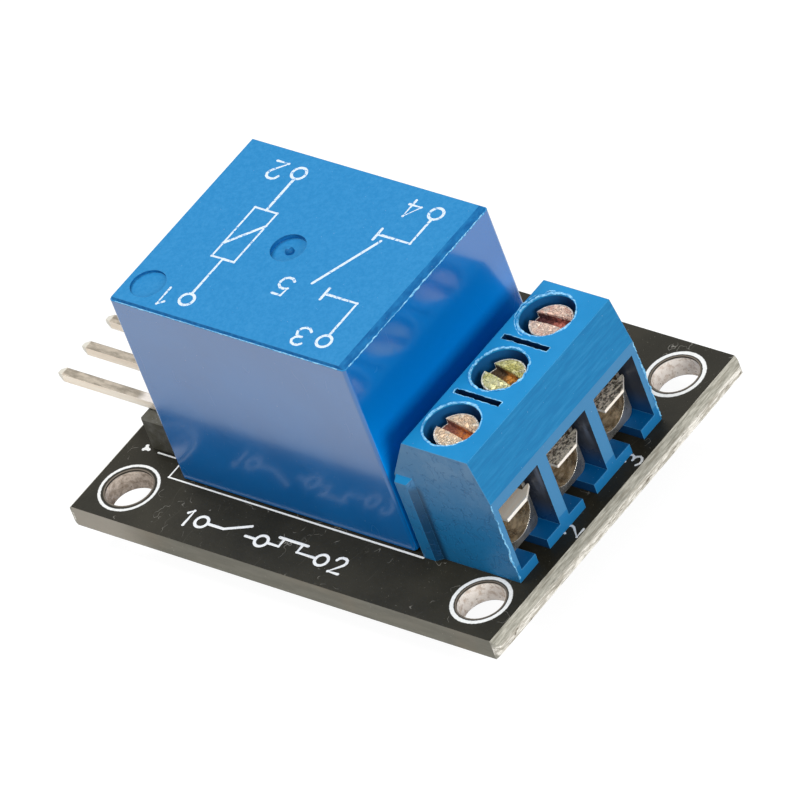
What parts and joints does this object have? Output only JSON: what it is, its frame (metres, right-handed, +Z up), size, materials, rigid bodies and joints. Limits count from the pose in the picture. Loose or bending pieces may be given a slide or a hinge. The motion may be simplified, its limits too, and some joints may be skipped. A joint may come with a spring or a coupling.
{
  "type": "relay module board",
  "caption": "Black circuit board with ringed corner holes, a blue sealed relay, a blue screw terminal block with wire cages, and a bent pin header.",
  "frame": {"origin": "centre of the four mounting holes, on the underside of the board", "axes": "+X along the board towards the terminal block, +Y towards the row of small parts, +Z up out of the component side"},
  "size_m": [0.0403, 0.0264, 0.0194],
  "materials": {
    "board_laminate": "black solder mask on glass-epoxy laminate",
    "case_plastic": "moulded, glossy",
    "sealing_resin": "cast, dull",
    "base_plastic": "moulded",
    "bobbin_plastic": "moulded",
    "copper_wire": "enamelled copper wire",
    "relay_iron": "soft iron, plated",
    "spring_copper": "rolled copper alloy",
    "contact_silver": "silver alloy",
    "tinned_brass": "tinned",
    "block_plastic": "moulded, semi-gloss",
    "screw_steel": "zinc plated, yellow passivated",
    "cage_brass": "stamped and plated",
    "plate_steel": "stamped sheet, plated",
    "header_plastic": "moulded",
    "header_brass": "tinned",
    "package_epoxy": "moulded epoxy",
    "tin_plate": "tinned",
    "resistor_ceramic": "glazed ceramic",
    "led_resin": "clear tinted resin",
    "solder": "bright solder"
  },
  "bodies": {
    "module": {"circuit_board": "board_laminate", "relay_case": "case_plastic", "relay_seal": "sealing_resin", "relay_base": "base_plastic", "coil_bobbin": "bobbin_plastic", "coil_winding": "copper_wire", "coil_core": "relay_iron", "relay_yoke": "relay_iron", "common_terminal": "tinned_brass", "open_terminal": "tinned_brass", "closed_terminal": "tinned_brass", "open_contact": "contact_silver", "closed_contact": "contact_silver", "coil_pin_1": "tinned_brass", "coil_pin_2": "tinned_brass", "terminal_housing": "block_plastic", "terminal_cage_1": "cage_brass", "terminal_cage_2": "cage_brass", "terminal_cage_3": "cage_brass", "header_body": "header_plastic", "header_pin_1": "header_brass", "header_pin_2": "header_brass", "header_pin_3": "header_brass", "diode_body": "package_epoxy", "diode_tabs": "tin_plate", "transistor_body": "package_epoxy", "transistor_leads": "tin_plate", "base_resistor": "resistor_ceramic", "led_resistor": "resistor_ceramic", "status_led": "led_resin", "chip_ends": "tin_plate", "relay_solder": "solder", "terminal_solder": "solder", "header_solder": "solder"},
    "armature": {"relay_armature": "relay_iron", "contact_spring": "spring_copper", "moving_contact": "contact_silver"},
    "plate_1": {"pressure_plate_1": "plate_steel"},
    "screw_1": {"terminal_screw_1": "screw_steel"},
    "plate_2": {"pressure_plate_2": "plate_steel"},
    "screw_2": {"terminal_screw_2": "screw_steel"},
    "plate_3": {"pressure_plate_3": "plate_steel"},
    "screw_3": {"terminal_screw_3": "screw_steel"}
  },
  "joints": [
    {"name": "armature_hinge", "type": "hinge", "parent": "module", "child": "armature", "pos_m": [-0.0087, -0.0009, 0.01473], "axis": [0, 1, 0], "range_deg": [0, 2], "stiffness_Nm_per_rad": 0.05, "springref_deg": -1.72},
    {"name": "plate_slide_1", "type": "slide", "parent": "module", "child": "plate_1", "axis": [0, 0, 1], "range_m": [-0.0016, 0]},
    {"name": "screw_turn_1", "type": "hinge", "parent": "plate_1", "child": "screw_1", "pos_m": [0.01236, -0.00583, 0.01], "axis": [0, 0, 1], "range_deg": [-1152, 0]},
    {"name": "plate_slide_2", "type": "slide", "parent": "module", "child": "plate_2", "axis": [0, 0, 1], "range_m": [-0.0016, 0]},
    {"name": "screw_turn_2", "type": "hinge", "parent": "plate_2", "child": "screw_2", "pos_m": [0.01236, -0.00075, 0.01], "axis": [0, 0, 1], "range_deg": [-1152, 0]},
    {"name": "plate_slide_3", "type": "slide", "parent": "module", "child": "plate_3", "axis": [0, 0, 1], "range_m": [-0.0016, 0]},
    {"name": "screw_turn_3", "type": "hinge", "parent": "plate_3", "child": "screw_3", "pos_m": [0.01236, 0.00433, 0.01], "axis": [0, 0, 1], "range_deg": [-1152, 0]}
  ],
  "couplings": [
    {"joint": "screw_turn_1", "follows": "plate_slide_1", "rad_per_m": 12566},
    {"joint": "screw_turn_2", "follows": "plate_slide_2", "rad_per_m": 12566},
    {"joint": "screw_turn_3", "follows": "plate_slide_3", "rad_per_m": 12566}
  ]
}
